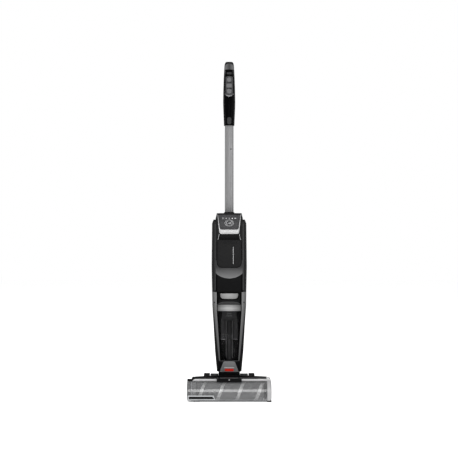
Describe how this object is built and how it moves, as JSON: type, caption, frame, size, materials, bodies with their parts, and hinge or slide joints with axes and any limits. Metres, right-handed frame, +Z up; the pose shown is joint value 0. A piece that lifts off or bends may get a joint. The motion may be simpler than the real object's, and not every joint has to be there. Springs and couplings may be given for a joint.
{
  "type": "wet dry floor scrubber",
  "caption": "Cordless upright wet and dry floor scrubber with a powered roller head, a reclining swivel neck, removable water tanks, a metal wand and a button grip.",
  "frame": {"origin": "on the floor under the middle of the object's footprint, where the head's front and the wheels' back are equally far away", "axes": "+Z up along the wand, -Y to the front where the roller and the display face, +X to the right seen from the front"},
  "size_m": [0.27, 0.24, 1.108],
  "materials": {
    "black_plastic": "fine moulded grain",
    "charcoal_plastic": "fine moulded grain",
    "grey_plastic": "satin",
    "silver_trim": "metallic satin",
    "clear_window": "clear moulded plastic",
    "smoke_tank": "dark transparent moulded plastic",
    "wand_metal": "satin anodised",
    "steel": "turned",
    "motor_casing": "plain",
    "roller_pile": "short dense pile",
    "inner_plastic": "plain moulded",
    "black_rubber": "matt",
    "tyre_rubber": "matt",
    "display_face": "speckled under a clear face",
    "grip_black": "glossy",
    "battery_case": "plain",
    "circuit_board": "solder mask"
  },
  "bodies": {
    "head": {"head_chassis": "black_plastic", "head_top_cover": "black_plastic", "end_cap_left": "grey_plastic", "end_cap_right": "silver_trim", "brush_motor": "motor_casing", "drive_belt": "black_rubber", "squeegee_blade": "black_rubber", "spray_bar": "inner_plastic", "suction_nozzle": "inner_plastic", "front_skids": "black_rubber", "hinge_pins": "steel", "head_screws": "steel"},
    "window": {"window_cover": "clear_window", "window_trim": "silver_trim"},
    "window_latch": {"window_latch": "black_plastic"},
    "roller": {"roller_core": "inner_plastic", "roller_sleeve": "roller_pile", "roller_end_plug": "black_plastic", "roller_pulley": "inner_plastic"},
    "motor_pulley": {"motor_pulley": "steel"},
    "wheel_left": {"wheel_hub_left": "inner_plastic", "wheel_tyre_left": "tyre_rubber"},
    "wheel_right": {"wheel_hub_right": "inner_plastic", "wheel_tyre_right": "tyre_rubber"},
    "neck": {"neck_yoke": "black_plastic", "neck_hose": "black_rubber"},
    "upright": {"swivel_socket": "black_plastic", "spine": "charcoal_plastic", "tank_frame": "grey_plastic", "badge_plate": "grey_plastic", "front_frame": "charcoal_plastic", "rear_housing": "charcoal_plastic", "tube_collar": "black_plastic", "display_panel": "display_face", "display_bezel": "silver_trim", "accent_panel": "grey_plastic", "motor_shroud": "black_plastic", "suction_motor": "motor_casing", "battery_pack": "battery_case", "control_board": "circuit_board", "water_pump": "inner_plastic", "wand_tube": "wand_metal", "grip_front": "grip_black", "grip_rear": "grip_black", "grip_top_cap": "grey_plastic", "control_panel": "charcoal_plastic"},
    "front_cover": {"front_cover": "charcoal_plastic"},
    "fan": {"fan_impeller": "inner_plastic"},
    "dirty_tank": {"dirty_tank": "smoke_tank", "dirty_tank_lid": "silver_trim", "tank_cap": "black_plastic", "tank_filter": "inner_plastic", "intake_tube": "inner_plastic"},
    "tank_float": {"tank_float": "inner_plastic"},
    "tank_release": {"tank_release": "silver_trim"},
    "clean_tank": {"clean_tank": "smoke_tank"},
    "fill_cap": {"clean_tank_cap": "black_plastic"},
    "power_button": {"power_button": "grey_plastic"},
    "mode_button": {"mode_button": "grey_plastic"},
    "spray_button": {"spray_button": "grey_plastic"}
  },
  "joints": [
    {"name": "window_lift", "type": "slide", "parent": "head", "child": "window", "axis": [0, -0.853, 0.522], "range_m": [0, 0.06]},
    {"name": "window_latch_pull", "type": "slide", "parent": "window", "child": "window_latch", "axis": [0, 0, 1], "range_m": [0, 0.003], "stiffness_N_per_m": 300, "springref_m": -0.002},
    {"name": "roller_spin", "type": "hinge", "parent": "head", "child": "roller", "pos_m": [0, -0.082, 0.0305], "axis": [1, 0, 0], "continuous": true},
    {"name": "motor_pulley_spin", "type": "hinge", "parent": "head", "child": "motor_pulley", "pos_m": [0, -0.018, 0.034], "axis": [1, 0, 0], "continuous": true},
    {"name": "wheel_left_roll", "type": "hinge", "parent": "head", "child": "wheel_left", "pos_m": [0, 0.0865, 0.0335], "axis": [1, 0, 0], "continuous": true},
    {"name": "wheel_right_roll", "type": "hinge", "parent": "head", "child": "wheel_right", "pos_m": [0, 0.0865, 0.0335], "axis": [1, 0, 0], "continuous": true},
    {"name": "recline", "type": "hinge", "parent": "head", "child": "neck", "pos_m": [0, 0.045, 0.042], "axis": [-1, 0, 0], "range_deg": [0, 75]},
    {"name": "swivel", "type": "hinge", "parent": "neck", "child": "upright", "pos_m": [0, 0.045, 0.08], "axis": [0, 0, 1], "range_deg": [-30, 30]},
    {"name": "front_cover_pull", "type": "slide", "parent": "upright", "child": "front_cover", "axis": [0, -1, 0], "range_m": [0, 0.04]},
    {"name": "fan_spin", "type": "hinge", "parent": "upright", "child": "fan", "pos_m": [0, 0.0135, 0.36], "axis": [0, 0, 1], "continuous": true},
    {"name": "dirty_tank_pull", "type": "slide", "parent": "upright", "child": "dirty_tank", "axis": [0, -1, 0], "range_m": [0, 0.12]},
    {"name": "float_rise", "type": "slide", "parent": "dirty_tank", "child": "tank_float", "axis": [0, 0, 1], "range_m": [0, 0.02]},
    {"name": "tank_release_press", "type": "slide", "parent": "dirty_tank", "child": "tank_release", "axis": [0, 1, 0], "range_m": [0, 0.004], "stiffness_N_per_m": 400, "springref_m": -0.002},
    {"name": "clean_tank_pull", "type": "slide", "parent": "upright", "child": "clean_tank", "axis": [0, 1, 0], "range_m": [0, 0.1]},
    {"name": "fill_cap_swing", "type": "hinge", "parent": "clean_tank", "child": "fill_cap", "pos_m": [0, 0.0885, 0.39], "axis": [1, 0, 0], "range_deg": [0, 110]},
    {"name": "power_button_press", "type": "slide", "parent": "upright", "child": "power_button", "axis": [0, 1, 0], "range_m": [0, 0.0012], "stiffness_N_per_m": 500, "springref_m": -0.001},
    {"name": "mode_button_press", "type": "slide", "parent": "upright", "child": "mode_button", "axis": [0, 1, 0], "range_m": [0, 0.0012], "stiffness_N_per_m": 500, "springref_m": -0.001},
    {"name": "spray_button_press", "type": "slide", "parent": "upright", "child": "spray_button", "axis": [0, 1, 0], "range_m": [0, 0.0012], "stiffness_N_per_m": 500, "springref_m": -0.001}
  ],
  "couplings": [
    {"joint": "motor_pulley_spin", "follows": "roller_spin", "ratio": 2.2857}
  ]
}
